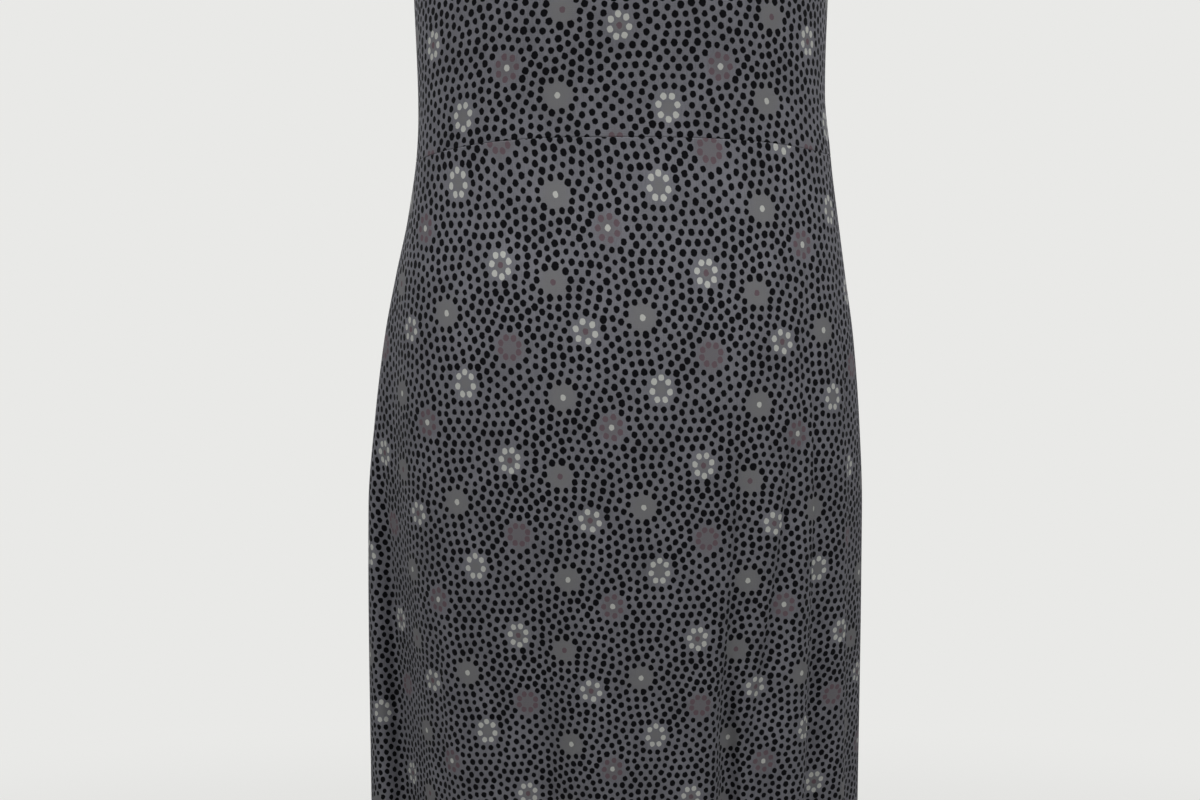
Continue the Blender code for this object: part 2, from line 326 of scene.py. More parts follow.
# The length of one repeat on the cloth, across and down, which the jersey's stretch makes longer above, and
# the place in the repeat at the centre
Stretch = namedtuple("Stretch", "drop across down centre")
BODICE_STRETCH = (Stretch(0.000, 0.1430, 0.1330, 0.206),)
SKIRT_STRETCH = (
    Stretch(0.40, 0.1420, 0.146, -0.145),
    Stretch(0.50, 0.1375, 0.134, -0.192),
    Stretch(0.65, 0.1275, 0.120, -0.234),
    Stretch(0.85, 0.1130, 0.105, -0.231),
    Stretch(1.03, 0.1085, 0.103, -0.222),
)
# How the skirt's rows of motifs sag and tip across the front: terms in the way across and its square
SAG_FROM = 0.600
TIP, TIP_GROWS, BOW, BOW_GROWS = -0.20, 0.97, -2.1, 5.1
# Where the print lies on each piece: how far it is moved along the repeat, where the repeat stands at the
# waist seam, and its direction, which is turned half round on the bodice
Lay = namedtuple("Lay", "moved down direction stretch")
SKIRT_FRONT_LAY = Lay(0.00, -0.213, 1, SKIRT_STRETCH)
SKIRT_BACK_LAY = Lay(0.59, 0.340, 1, SKIRT_STRETCH)
BODICE_FRONT_LAY = Lay(0.00, -0.149, -1, BODICE_STRETCH)
BODICE_BACK_LAY = Lay(0.50, 0.520, -1, BODICE_STRETCH)

# The pieces: their side of the dress, -1 for the front and 1 for the back; the drop of a bodice's neckline;
# and the flat size to which each is cut, with its turnings and seam allowances, in metres
Cut = namedtuple("Cut", "name side neck folds creases lay width length area")
BODICE = (
    Cut("front_bodice", -1, NECK_FRONT, (), FRONT_BODICE_CREASES, BODICE_FRONT_LAY, 0.430, 0.440, 0.140),
    Cut("back_bodice", 1, NECK_BACK, (), BACK_BODICE_CREASES, BODICE_BACK_LAY, 0.430, 0.440, 0.150),
)
SKIRT = (
    Cut("front_skirt", -1, None, FRONT_FOLDS, FRONT_SKIRT_CREASES, SKIRT_FRONT_LAY, 0.480, 0.660, 0.300),
    Cut("back_skirt", 1, None, BACK_FOLDS, BACK_SKIRT_CREASES, SKIRT_BACK_LAY, 0.480, 0.660, 0.300),
)


def linear(hex_colour):
    """The linear colour for an sRGB hex value, with an alpha of 1. Dark parts are divided by 12.92, and the
    others follow the curve of the power 2.4."""
    parts = [int(hex_colour[i : i + 2], 16) / 255 for i in (0, 2, 4)]
    return tuple(c / 12.92 if c <= 0.04045 else ((c + 0.055) / 1.055) ** 2.4 for c in parts) + (1.0,)


def shaded(colour, times):
    """A darker or lighter colour: its red, green and blue multiplied."""
    return tuple(c * times for c in colour[:3]) + (1.0,)


def unit(vectors):
    """The vectors divided by their lengths."""
    return vectors / np.linalg.norm(vectors, axis=-1, keepdims=True)


def dot(a, b):
    """The sum of the products of two vectors' parts."""
    return (a * b).sum(-1)


def lengths_so_far(points):
    """For each point of a line, the sum of the steps that lead to it."""
    return np.append(0, np.cumsum(np.linalg.norm(np.diff(points, axis=0), axis=1)))


def both_halves(values, sign):
    """A row from the centre outwards, and before it the same row turned round, with this sign."""
    return np.concatenate([sign * values[:0:-1], values])


def slope(grid, axis):
    """A grid's direction along one of its axes: at each point the sum of the unit steps to it and from it."""
    steps = unit(np.diff(grid, axis=axis))
    first, last = np.take(steps, [0], axis), np.take(steps, [-1], axis)
    return np.concatenate([first, steps], axis) + np.concatenate([steps, last], axis)


def eased(x, start, end):
    """0 before start, 1 after end, and a smooth S between them."""
    t = np.clip((x - start) / (end - start), 0, 1)
    return t * t * (3 - 2 * t)


# --- The form -----------------------------------------------------------------------------------------------


def smooth(x, xs, ys):
    """The height at x of the smooth curve through (xs, ys), which never swings past its points. Between two
    points it is a cubic. Its slope at a point is the harmonic mean of the rises before and after, or 0 where
    one of them goes up and the other down."""
    xs, ys = np.asarray(xs, float), np.asarray(ys, float)
    steps = np.diff(xs)
    rises = np.diff(ys) / steps
    before, after = rises[:-1], rises[1:]
    same_way = before * after > 0
    mean = 2 * before * after / np.where(same_way, before + after, 1)
    slopes = np.concatenate([rises[:1], np.where(same_way, mean, 0), rises[-1:]])
    k = np.clip(np.searchsorted(xs, x) - 1, 0, len(steps) - 1)
    t = (x - xs[k]) / steps[k]
    return (
        ys[k] * (1 + 2 * t) * (1 - t) ** 2
        + slopes[k] * steps[k] * t * (1 - t) ** 2
        + ys[k + 1] * t**2 * (3 - 2 * t)
        + slopes[k + 1] * steps[k] * t**2 * (t - 1)
    )


def ring(root, column):
    """One column of the table of rings, read against the drop's root."""
    return smooth(root, [math.sqrt(r.drop) for r in RINGS], [getattr(r, column) for r in RINGS])


def swell(angle, drop, folds):
    """How far the folds carry the cloth out of the smooth form. Each is a bell across, with its own reach to
    either side, and grows from its start until it is full."""
    out = np.zeros_like(angle)
    for fold in folds:
        fallen = np.clip((drop - fold.start) / (HEM - fold.start), 0, 1)
        middle = np.radians(fold.angle + fold.lean * fallen)
        reach = np.radians(np.where(angle < middle, fold.left, fold.right))
        out += fold.depth * eased(drop, fold.start, fold.full) * np.exp(-(((angle - middle) / reach) ** 2))
    return out


def on_form(angle, root, cut):
    """The points of the cloth's outer face. A level section is an ellipse made fuller by its squareness, and
    the folds move it along the ellipse's own direction out. Over the shoulders it sinks by their slope, which
    dies out below."""
    drop = root**2
    width = ring(root, "half_width")
    depth = ring(root, "front" if cut.side < 0 else "back")
    steady = np.maximum(depth, LEAST_DEPTH)
    across, ahead = np.sin(angle), np.cos(angle)
    out = swell(angle, drop, cut.folds)
    slant = np.hypot(across / width, ahead / steady)
    x = width * across * (1 + SQUARENESS * ahead**2) + out * across / width / slant
    y = depth * ahead * (1 + SQUARENESS * across**2) + out * ahead / steady / slant
    lowered = SHOULDER_SLOPE * np.exp(-((drop / SHOULDER_REACH) ** 2))
    z = -drop - lowered * (np.hypot(x, SHOULDER_ROUND) - SHOULDER_MIDDLE)
    return np.stack([x + ring(root, "sideways"), cut.side * (y + SEAM / 2), z], axis=-1)


def touch(angle, root, cut):
    """The cloth at a place: the point, how it moves for a turn of one radian and for one unit of root, each
    from a small step, and the direction out of the cloth, which is square to both."""
    here = on_form(angle, root, cut)
    before = on_form(angle - SMALL_STEP, root, cut)
    around = (on_form(angle + SMALL_STEP, root, cut) - before) / (2 * SMALL_STEP)
    down = (on_form(angle, root + SMALL_STEP, cut) - here) / SMALL_STEP
    return here, around, down, unit(np.cross(down, around)) * -cut.side


def waist_drop(angle, side):
    """The drop of the waist seam: level over the front's middle, lower at the sides, and level behind."""
    across = np.sin(angle)
    fallen = np.abs(across) ** 3 if side < 0 else 1
    return WAIST + (WAIST_ARCH - WAIST_TILT * across) * fallen


def creased(angle, drop, creases):
    """How far the creases carry the cloth out. Each is a bell across, with its own width to either side, and
    a flatter one along."""
    girth = ring(np.sqrt(drop), "half_width")
    out = np.zeros_like(angle)
    for crease in creases:
        right = (angle - math.radians(crease.angle)) * girth
        up = crease.drop - drop
        tilt = math.radians(crease.tilt)
        along = (up * math.cos(tilt) + right * math.sin(tilt)) / crease.length
        across = right * math.cos(tilt) - up * math.sin(tilt)
        across = across / np.where(across < 0, crease.left, crease.right)
        out += crease.height * np.exp(-(across**2) - along**4)
    return out


# --- Edges of the pieces ------------------------------------------------------------------------------------

# An edge, column by column: its angle and root, and the change of both for one metre into the piece
Edge = namedtuple("Edge", "angle root turn sink")
# The cloth's path over an edge: distance into the piece, depth below the face, the further depth that
# stitching gives, and 1 on the face or -1 on the layer that is turned in
Path = namedtuple("Path", "distance depth relief layer")


def moved(around, down, direction):
    """The turn and the change of root that move a point in this direction, by least squares of the slopes."""
    aa, ad, dd = dot(around, around), dot(around, down), dot(down, down)
    a, d = dot(around, direction), dot(down, direction)
    spread = aa * dd - ad**2
    return (a * dd - d * ad) / spread, (d * aa - a * ad) / spread


def edge_lines(neck_drop):
    """The three lines of half the bodice's upper edge, as (angle, root): the neckline, a quarter of an
    ellipse; the shoulder seam; and the armhole, which starts straight down and turns out to the side."""
    step = np.linspace(0, 1, LINE_SAMPLES)
    fallen = np.cos(step * math.pi / 2) ** 2
    neckline = STRAP_INNER * np.sqrt(1 - fallen**2), np.sqrt(neck_drop * fallen)
    shoulder = STRAP_INNER + (STRAP_OUTER - STRAP_INNER) * step, 0 * step
    turn = step**2 * (1 + ARMHOLE_TURN - ARMHOLE_TURN * step) * math.pi / 2
    outwards = (1 - np.cos(turn)) ** ARMHOLE_FLARE
    armhole = STRAP_OUTER + (SIDE - STRAP_OUTER) * outwards, np.sqrt(UNDERARM * np.sin(turn))
    return neckline, shoulder, armhole


def follow(line, cut):
    """A line on the cloth: its angle and root, the length so far, its direction, the direction into the
    piece, which is square to it on the cloth, and the form's two slopes."""
    angle, root = line
    here, around, down, out = touch(angle, root, cut)
    ahead = unit(np.gradient(here, axis=0))
    into = unit(np.cross(ahead, out)) * -cut.side
    return angle, root, lengths_so_far(here), ahead, into, around, down


def mitre(length):
    """How far along, for each metre into the piece, the turned edge leans beside a corner of the strap."""
    return np.clip(1 - length / MITRE_REACH, 0, 1) ** 2


def upper_edge(cut):
    """The bodice's upper edge, its columns' shares of the half waist, and 1 where it is turned and stitched
    or 0 along the shoulder seam. Columns stand at even lengths along each of its lines."""
    parts = []
    for k, line in enumerate(edge_lines(cut.neck)):
        angle, root, length, ahead, into, around, down = follow(line, cut)
        last = length[-1]
        lean = mitre(length) * (k > 0) - mitre(last - length) * (k < 2)
        turn, sink = moved(around, down, into + lean[:, None] * ahead)
        end = last - (SIDE_STRIP[-1] + SIDE_GAP) * (k == 2)
        at = np.linspace(0, end, EDGE_COLUMNS[k] + (k < 2))
        share = EDGE_SHARES[k] + (EDGE_SHARES[k + 1] - EDGE_SHARES[k]) * (at / end) ** EDGE_FANS[k]
        if k < 2:
            at, share = at[:-1], share[:-1]
        else:
            at = np.append(at, last - SIDE_STRIP[::-1])
            share = np.append(share, 0 * SIDE_STRIP + 1)
        columns = [np.interp(at, length, values) for values in (angle, root, turn, sink)]
        parts.append([*columns, share, np.full(len(at), k != 1)])
    angle, root, turn, sink, share, stitched = (np.concatenate(values) for values in zip(*parts))
    turn[0] = turn[-1] = 0
    edge = Edge(both_halves(angle, -1), both_halves(root, 1), both_halves(turn, -1), both_halves(sink, 1))
    return edge, both_halves(share, -1), both_halves(stitched * 1.0, 1)


def level_edge(angle, drop, cut, way):
    """An edge that runs round the dress. way is 1 where the piece hangs below it and -1 where it rises."""
    root = np.sqrt(drop)
    _, _, down, _ = touch(angle, root, cut)
    return Edge(angle, root, 0 * angle, way / np.linalg.norm(down, axis=-1))


def doubled(face, fold, turn_in):
    """A path along the face to the edge, round half a circle, and back inside as far as the cloth is turned
    in."""
    half = np.linspace(0, math.pi, FOLD_STEPS + 1)[1:-1]
    inside = np.linspace(fold, turn_in, TURNED_ROWS)
    distance = np.concatenate([face, fold * (1 - np.sin(half)), inside])
    depth = np.concatenate([0 * face, fold * (1 - np.cos(half)), 0 * inside + 2 * fold])
    layer = np.concatenate([0 * face + 1, np.where(half <= math.pi / 2, 1, -1), 0 * inside - 1])
    return Path(distance, depth, 0 * depth, layer)


def hemmed_path(turn_in, needle, edges):
    """The cloth's path over a turned edge with two rows of stitches. The face over the turned layer stands a
    little proud, and each row of stitches pulls it into a narrow trough, a bell across."""
    needles = needle, needle + edges.twin
    over = np.linspace(edges.fold, needle - BEFORE_STITCHES, TURNED_ROWS)
    face = np.concatenate([over, *(place + STITCH_ROWS for place in needles), turn_in + TURNING_ROWS])
    path = doubled(np.unique(np.round(face, DECIMALS))[::-1], edges.fold, turn_in)
    fades = turn_in + LIFT_FADES[0], turn_in + LIFT_FADES[1]
    relief = -edges.lift * (1 - eased(path.distance, *fades))
    for place in needles:
        trough = edges.dimple * np.exp(-(((path.distance - place) / DIMPLE_REACH) ** 2))
        relief += trough * (path.depth == 0)
    return path._replace(relief=relief)


def seam_path(edges):
    """The cloth's path over the waist seam: round into the dress and back along its inside."""
    return doubled(np.append(SEAM_ROWS, edges.seam_fold), edges.seam_fold, edges.allowance)


# Rows of a piece's grid: the place of each point, its depth below the form, its layer, 1 on the face or -1 on
# what is turned in, and the place of the edge over which it is turned
Rows = namedtuple("Rows", "angle root depth layer edge_angle edge_root")


def over_edge(edge, path, stitched):
    """The rows of a path over an edge."""
    distance, depth, relief, layer = (values[:, None] for values in path)
    full = np.ones((len(path.distance), len(edge.angle)))
    return Rows(
        edge.angle + edge.turn * distance,
        np.maximum(edge.root + edge.sink * distance, 0),
        (depth + relief * stitched) * full,
        layer * full,
        edge.angle * full,
        edge.root * full,
    )


def upside_down(rows):
    """The same rows from the last to the first."""
    return Rows(*(values[::-1] for values in rows))


def filled(above, below, count):
    """The rows of two edges, the lower one after the upper one, with evenly spaced rows between them."""
    share = np.linspace(0, 1, count + 2)[1:-1, None]
    angle = above.angle[-1] + (below.angle[0] - above.angle[-1]) * share
    root = above.root[-1] + (below.root[0] - above.root[-1]) * share
    between = Rows(angle, root, 0 * root, 0 * root + 1, angle, root)
    return Rows(*(np.concatenate(values) for values in zip(above, between, below)))


# --- The print ----------------------------------------------------------------------------------------------


def wrapped(difference):
    """The shortest way between two places of a repeat that goes on in every direction."""
    return (difference + 0.5) % 1 - 0.5


def charted_dots():
    """The dots of the chart's motifs: places in the repeat, inks, and sizes beside a common dot's. Petals
    stand at even turns on an upright ellipse, each ring turned its own way."""
    places, inks, sizes = [], [], []
    for order, motif in enumerate(CHART):
        kind = KINDS[motif.kind]
        turn = (np.arange(kind.petals) + RING_TURN * order) / max(kind.petals, 1) * 2 * math.pi
        for t in turn:
            places.append((motif.across + kind.wide * math.sin(t), motif.down - kind.tall * math.cos(t)))
            inks.append(INKS.index(kind.petal_ink))
            sizes.append(PETAL_SIZE)
        if kind.middle_ink:
            places.append((motif.across, motif.down))
            inks.append(INKS.index(kind.middle_ink))
            sizes.append(MIDDLE_SIZE)
    return np.array(places), np.array(inks), np.array(sizes)


def laid_dots(chart):
    """All dots of one repeat, as rows of across, down, ink and radius. The black ones start at random, and
    are pushed away by each other and by the motifs, so that they come to lie evenly, in whorls round them."""
    draw = np.random.default_rng(chart.seed)
    free = draw.random((chart.dots, 2))
    fixed, inks, sizes = charted_dots()
    middles = np.array([(m.across, m.down) for m in CHART])
    rooms = np.array([KINDS[m.kind].room for m in CHART])
    own = np.arange(chart.dots)
    for _ in range(chart.rounds):
        apart = wrapped(free[:, None] - np.vstack([free, fixed]))
        far = np.linalg.norm(apart, axis=-1) + TINY
        push = np.clip(1 - far / PUSH_REACH, 0, 1) ** 2 / far
        push[own, own] = 0
        step = (apart * push[..., None]).sum(1)
        apart = wrapped(free[:, None] - middles)
        far = np.linalg.norm(apart, axis=-1) + TINY
        step += ROOM_PUSH * (apart * (np.clip(1 - far / rooms, 0, 1) / far)[..., None]).sum(1)
        free = (free + PUSH_STEP * step) % 1
    uneven = np.clip(1 + chart.uneven * draw.standard_normal(chart.dots), LEAST_DOT, GREATEST_DOT)
    black = np.column_stack([free, np.zeros(chart.dots), chart.dot_radius * uneven])
    return np.concatenate([black, np.column_stack([fixed % 1, inks, chart.dot_radius * sizes])])


def nearest(places, points, count):
    """For each place, the nearest points of the repeat: their numbers, and where they lie beside it."""
    numbers = np.empty((len(places), count), int)
    for start in range(0, len(places), BLOCK):
        apart = wrapped(points - places[start : start + BLOCK, None])
        numbers[start : start + BLOCK] = np.argpartition((apart**2).sum(-1), count - 1)[:, :count]
    return numbers, places[:, None] + wrapped(points[numbers] - places[:, None])


def stretch(table, root, column):
    """One column of a table of stretches, read straight between its rows."""
    return np.interp(root**2, [s.drop for s in table], [getattr(s, column) for s in table])


def print_table(cut):
    """The place in the print over a grid of angle and root: lengths on the creased cloth, summed across from
    the centre and down from the waist seam, each counted in repeats."""
    lay = cut.lay
    angles = np.linspace(-SIDE, SIDE, TABLE_COLUMNS)
    roots = np.linspace(0, math.sqrt(HEM), TABLE_ROWS)
    angle, root = np.meshgrid(angles, roots)
    points, _, _, out = touch(angle, np.maximum(root, TOP_ROOT), cut)
    points = points + out * creased(angle, root**2, cut.creases)[..., None]
    steps = np.linalg.norm(np.diff(points, axis=1), axis=2)
    across = np.pad(np.cumsum(steps, axis=1), ((0, 0), (1, 0)))
    across -= across[:, TABLE_COLUMNS // 2, None]
    middle = (roots[1:] + roots[:-1])[:, None] / 2
    steps = np.linalg.norm(np.diff(points, axis=0), axis=2) / stretch(lay.stretch, middle, "down")
    down = np.pad(np.cumsum(steps, axis=0), ((1, 0), (0, 0)))
    waist = WAIST + 0 * angles if lay.direction > 0 else waist_drop(angles, cut.side)
    row = np.sqrt(waist) / roots[1]
    low, column = row.astype(int), np.arange(TABLE_COLUMNS)
    down -= down[low, column] * (1 - row % 1) + down[low + 1, column] * (row % 1)
    u = lay.moved + stretch(lay.stretch, root, "centre")
    u -= cut.side * lay.direction * across / stretch(lay.stretch, root, "across")
    v = lay.down + lay.direction * down
    if lay.direction > 0:
        below = root**2 - SAG_FROM
        v += (TIP + TIP_GROWS * below) * across + (BOW + BOW_GROWS * below) * across**2
    return np.stack([u, v], axis=-1)


def print_place(table, angle, root):
    """The table read between its rows and columns: the mean of the four places round this one, each weighed
    by how near it lies."""
    r = np.clip(root / math.sqrt(HEM), 0, 1) * (TABLE_ROWS - TABLE_END)
    c = np.clip(angle / math.pi + 0.5, 0, 1) * (TABLE_COLUMNS - TABLE_END)
    r0, c0 = r.astype(int), c.astype(int)
    r1, c1 = (r - r0)[..., None], (c - c0)[..., None]
    upper = table[r0, c0] * (1 - c1) + table[r0, c0 + 1] * c1
    lower = table[r0 + 1, c0] * (1 - c1) + table[r0 + 1, c0 + 1] * c1
    return upper * (1 - r1) + lower * r1


# --- Making the cloth ---------------------------------------------------------------------------------------


def new_piece(name, points, faces):
    """A smooth mesh object at the origin that moves with the dress."""
    mesh = bpy.data.meshes.new(name)
    mesh.from_pydata(points.tolist(), [], faces)
    mesh.shade_smooth()
    piece = bpy.data.objects.new(name, mesh)
    bpy.context.scene.collection.objects.link(piece)
    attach(piece, "root")
    return piece


def share_of_way(grid, axis):
    """How far along each row or column of a grid stands, from 0 to 1, by its mean length."""
    steps = np.linalg.norm(np.diff(grid, axis=axis), axis=2).mean(1 - axis)
    way = np.append(0, np.cumsum(steps))
    return way / way[-1]


def quads(rows, columns, start):
    """The faces of a grid whose points are numbered row by row from start: each point with the one below it,
    the one below to the right, and the one to the right."""
    corner = start + (np.arange(rows - 1)[:, None] * columns + np.arange(columns - 1)).reshape(-1, 1)
    return corner + np.array([0, columns, columns + 1, 1])


def shell(name, face, tile, side, thickness):
    """A closed shell of cloth: the face grid, a second grid below it by the thickness, and a rim round both.
    It has two UV maps: print, in repeats, and OFBake, with the face and the reverse laid flat side by side.
    Returns the piece and each face's place in the print."""
    rows, columns = face.shape[:2]
    out = unit(np.cross(slope(face, 0), slope(face, 1)))
    below = face + out * side * thickness
    points = np.concatenate([face.reshape(-1, 3), below.reshape(-1, 3)])
    size = rows * columns
    number = np.arange(size).reshape(rows, columns)
    loop = np.concatenate([number[0, :-1], number[:-1, -1], number[-1, :0:-1], number[:0:-1, 0]])
    after = np.roll(loop, -1)
    outer, inner = quads(rows, columns, 0), quads(rows, columns, size)[:, ::-1]
    rim = np.stack([loop, after, after + size, loop + size], axis=1)
    faces = np.concatenate([outer, inner, rim])[:, ::-side]
    piece = new_piece(name, points, faces.tolist())
    mesh = piece.data
    mesh.set_sharp_from_angle(angle=SHARP)

    corners = faces.reshape(-1)
    mesh.uv_layers.new(name="print").data.foreach_set("uv", tile.reshape(-1, 2)[corners % size].ravel())
    flat = np.stack(np.meshgrid(share_of_way(face, 1), share_of_way(face, 0)), axis=-1).reshape(-1, 2)
    on_face = FLAT_FROM + flat * FACE_SIZE
    on_reverse = FLAT_FROM + REVERSE_FROM + flat * REVERSE_SIZE
    place = np.concatenate([on_face, on_reverse])[corners]
    beyond = on_face + np.where(np.abs(flat - 0.5) > RIM_FROM, np.sign(flat - 0.5), 0) * RIM_WIDTH
    on_rim = (np.arange(len(corners)) >= 4 * (len(outer) + len(inner))) & (corners >= size)
    place[on_rim] = beyond[corners[on_rim] - size]
    mesh.uv_layers.new(name="OFBake").data.foreach_set("uv", place.ravel())
    mesh.polygons.foreach_set("material_index", np.repeat([0, 1, 0], [len(outer), len(inner), len(rim)]))
    return piece, tile.reshape(-1, 2)[faces % size].mean(1)


def print_on(piece, places, dots):
    """Gives each face the dots and the motif nearest to it, for the cloth's material: where each lies in the
    print, and the sum of the number of its ink and its radius."""

    def give(name, near, codes):
        """One attribute of the faces: a place, and a code."""
        layer = piece.data.attributes.new(name, "FLOAT_VECTOR", "FACE")
        layer.data.foreach_set("vector", np.column_stack([near, codes]).astype(np.float32).ravel())

    numbers, near = nearest(places, dots[:, :2], NEAREST)
    for k in range(NEAREST):
        give(f"dot_{k + 1}", near[:, k], dots[numbers[:, k], 2:].sum(1))
    kinds = [KINDS[motif.kind] for motif in CHART]
    codes = np.array([BLOTS.index(kind.blot) + kind.reach for kind in kinds])
    numbers, near = nearest(places, np.array([(m.across, m.down) for m in CHART]), 1)
    give("motif", near[:, 0], codes[numbers[:, 0]])


def settled(angle, drop):
    """The slight unevenness of worn cloth: two crossed waves in each of a few sizes, which die out at the
    side seams so that the front and the back meet."""
    out = 0
    for height, across, down, start in UNEVENNESS:
        wave = np.sin(across * angle + down * drop + start)
        out = out + height * wave * np.sin(down * drop * CROSSING_WAVE - start)
    return out * np.cos(angle) ** 2


def cloth_piece(cut, rows, dots, scene):
    """One piece of cloth: its rows put on the form, with the columns along the side seams rolled in, and with
    its creases, its print and its thickness."""
    angle, root, depth, layer, edge_angle, edge_root = rows
    _, around, _, _ = touch(0 * root[:, -1:] + SIDE, root[:, -1:], cut)
    strip = SIDE_STRIP / np.linalg.norm(around, axis=-1)
    roll = scene.dress_cloth.seam_roll
    rolled = roll * (1 - np.sqrt(1 - np.clip(1 - SIDE_STRIP / roll, 0, 1) ** 2))
    first, last = slice(None, len(SIDE_STRIP)), slice(-len(SIDE_STRIP), None)
    for values in (angle, edge_angle):
        values[:, first], values[:, last] = strip - SIDE, SIDE - strip[:, ::-1]
    depth[:, first] += rolled
    depth[:, last] += rolled[::-1]

    here, _, _, out = touch(angle, root, cut)
    rise = creased(angle, root**2, cut.creases) + settled(angle, root**2) - depth
    face = here + out * rise[..., None]
    table = print_table(cut)
    at_edge = print_place(table, edge_angle, edge_root)
    tile = at_edge + layer[..., None] * (print_place(table, angle, root) - at_edge)
    piece, places = shell(f"{cut.name}_cloth", face, tile, cut.side, scene.dress_cloth.thickness)
    print_on(piece, places, dots)
    for material in (printed_face(scene.dress_cloth), printed_reverse(scene.dress_cloth)):
        piece.data.materials.append(material)
    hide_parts(cut.name)
    return piece


def bodice_piece(cut, dots, scene):
    """A bodice piece: its columns fan up from the waist seam to the neckline, the strap and the armholes."""
    edges = scene.dress_edges
    upper, share, stitched = upper_edge(cut)
    top = over_edge(upper, hemmed_path(edges.top_turning, edges.top_needle, edges), stitched)
    angle = share * SIDE
    waist = level_edge(angle, waist_drop(angle, cut.side) - SEAM / 2, cut, -1)
    rows = filled(upside_down(top), over_edge(waist, seam_path(edges), 1), BODICE_ROWS)
    return cloth_piece(cut, rows, dots, scene)


def skirt_piece(cut, dots, scene):
    """A skirt piece: its columns run down from the waist seam to the hem."""
    edges = scene.dress_edges
    reach = SIDE * EDGE_SHARES[-1]
    ends = np.full(len(SIDE_STRIP), SIDE)
    angle = np.concatenate([-ends, np.linspace(-reach, reach, SKIRT_COLUMNS), ends])
    waist = level_edge(angle, waist_drop(angle, cut.side) + SEAM / 2, cut, 1)
    hem = level_edge(angle, HEM + 0 * angle, cut, -1)
    turned = over_edge(hem, hemmed_path(edges.hem_turning, edges.hem_needle, edges), 1)
    rows = filled(upside_down(over_edge(waist, seam_path(edges), 1)), turned, SKIRT_ROWS)
    return cloth_piece(cut, rows, dots, scene)


def stitch_row(line, cut, edges):
    """The points of a row of stitches along a line of (angle, root): each stitch is a short thread, round and
    pointed at its ends, that follows the line and dips into the cloth."""
    angle, root = line
    length = lengths_so_far(on_form(angle, root, cut))
    pitch = edges.stitch + edges.stitch_gap
    count = int((length[-1] - 2 * STITCH_END) / pitch)
    at = (length[-1] - pitch * (count - 1)) / 2 + pitch * np.arange(count)
    angle, root = np.interp(at, length, angle), np.interp(at, length, root)
    here, _, _, out = touch(angle, root, cut)
    rise = creased(angle, root**2, cut.creases) + settled(angle, root**2) + edges.lift - edges.dimple
    here = here + out * rise[:, None]
    ahead = unit(np.gradient(here, axis=0))
    beside = np.cross(out, ahead)
    turn = np.arange(STITCH_SIDES) / STITCH_SIDES * 2 * math.pi
    rings = []
    for along, width, sunk in STITCH_SHAPE:
        middle = here + ahead * along * edges.stitch - out * sunk * edges.thread
        round_it = np.cos(turn)[:, None, None] * beside + np.sin(turn)[:, None, None] * out
        rings.append(middle + round_it * width * edges.thread / 2)
    return np.stack(rings).transpose(2, 0, 1, 3).reshape(count, -1, 3)


def stitching_piece(name, rows, thread):
    """All stitches of a piece of cloth as one mesh. Each is a tube of a few rings, closed at both ends."""
    points = np.concatenate(rows)
    k = np.arange(STITCH_SIDES)
    after = (k + 1) % STITCH_SIDES
    start = np.arange(len(points))[:, None] * len(STITCH_SHAPE) * STITCH_SIDES
    ring_start = (start + np.arange(len(STITCH_SHAPE) - 1) * STITCH_SIDES)[..., None, None]
    tube = ring_start + np.stack([k, after, after + STITCH_SIDES, k + STITCH_SIDES], axis=-1)
    first = start + k[::-1]
    last = start + (len(STITCH_SHAPE) - 1) * STITCH_SIDES + k
    faces = tube.reshape(-1, 4).tolist() + first.tolist() + last.tolist()
    piece = new_piece(name, points.reshape(-1, 3), faces)
    piece.data.materials.append(thread)
    return piece


def bodice_stitches(cut, edges):
    """The twin rows on a bodice piece: across the neckline, and round each armhole."""
    rows = []
    neckline, _, armhole = (follow(line, cut) for line in edge_lines(cut.neck))
    for needle in (edges.top_needle, edges.top_needle + edges.twin):
        lines = []
        for angle, root, _, _, into, around, down in (neckline, armhole):
            turn, sink = moved(around, down, into)
            lines.append((angle + turn * needle, np.maximum(root + sink * needle, 0)))
        (angle, root), (arm_angle, arm_root) = lines
        whole = both_halves(angle, -1), both_halves(root, 1)
        for line in (whole, (arm_angle, arm_root), (-arm_angle[::-1], arm_root[::-1])):
            rows.append(stitch_row(line, cut, edges))
    return rows


def skirt_stitches(cut, edges):
    """The twin rows along the hem of a skirt piece."""
    angle = np.linspace(-SIDE, SIDE, 4 * LINE_SAMPLES)
    hem = level_edge(angle, HEM + 0 * angle, cut, -1)
    needles = edges.hem_needle, edges.hem_needle + edges.twin
    return [stitch_row((angle, hem.root + hem.sink * needle), cut, edges) for needle in needles]


# --- Materials ----------------------------------------------------------------------------------------------


def new_material(name):
    """A material with an empty node tree and its output node."""
    material = bpy.data.materials.new(name)
    material.use_nodes = True
    material.node_tree.nodes.clear()
    output = material.node_tree.nodes.new("ShaderNodeOutputMaterial")
    return material, material.node_tree, output


def add(tree, kind, inputs=None, **settings):
    """Adds a node. Settings are its own values. Inputs are keyed by socket, by name or by number, and hold
    either another node's output, which is linked, or a value."""
    node = tree.nodes.new("ShaderNode" + kind)
    for name, value in settings.items():
        setattr(node, name, value)
    for key, value in (inputs or {}).items():
        if isinstance(value, bpy.types.NodeSocket):
            tree.links.new(value, node.inputs[key])
        else:
            node.inputs[key].default_value = value
    return node


def maths(tree, operation, *values, **settings):
    """The result of an operation on numbers."""
    return add(tree, "Math", dict(enumerate(values)), operation=operation, **settings).outputs[0]


def vectors(tree, operation, *values):
    """The result of an operation on vectors, which for a length is a number."""
    result = "Value" if operation == "LENGTH" else "Vector"
    return add(tree, "VectorMath", dict(enumerate(values)), operation=operation).outputs[result]


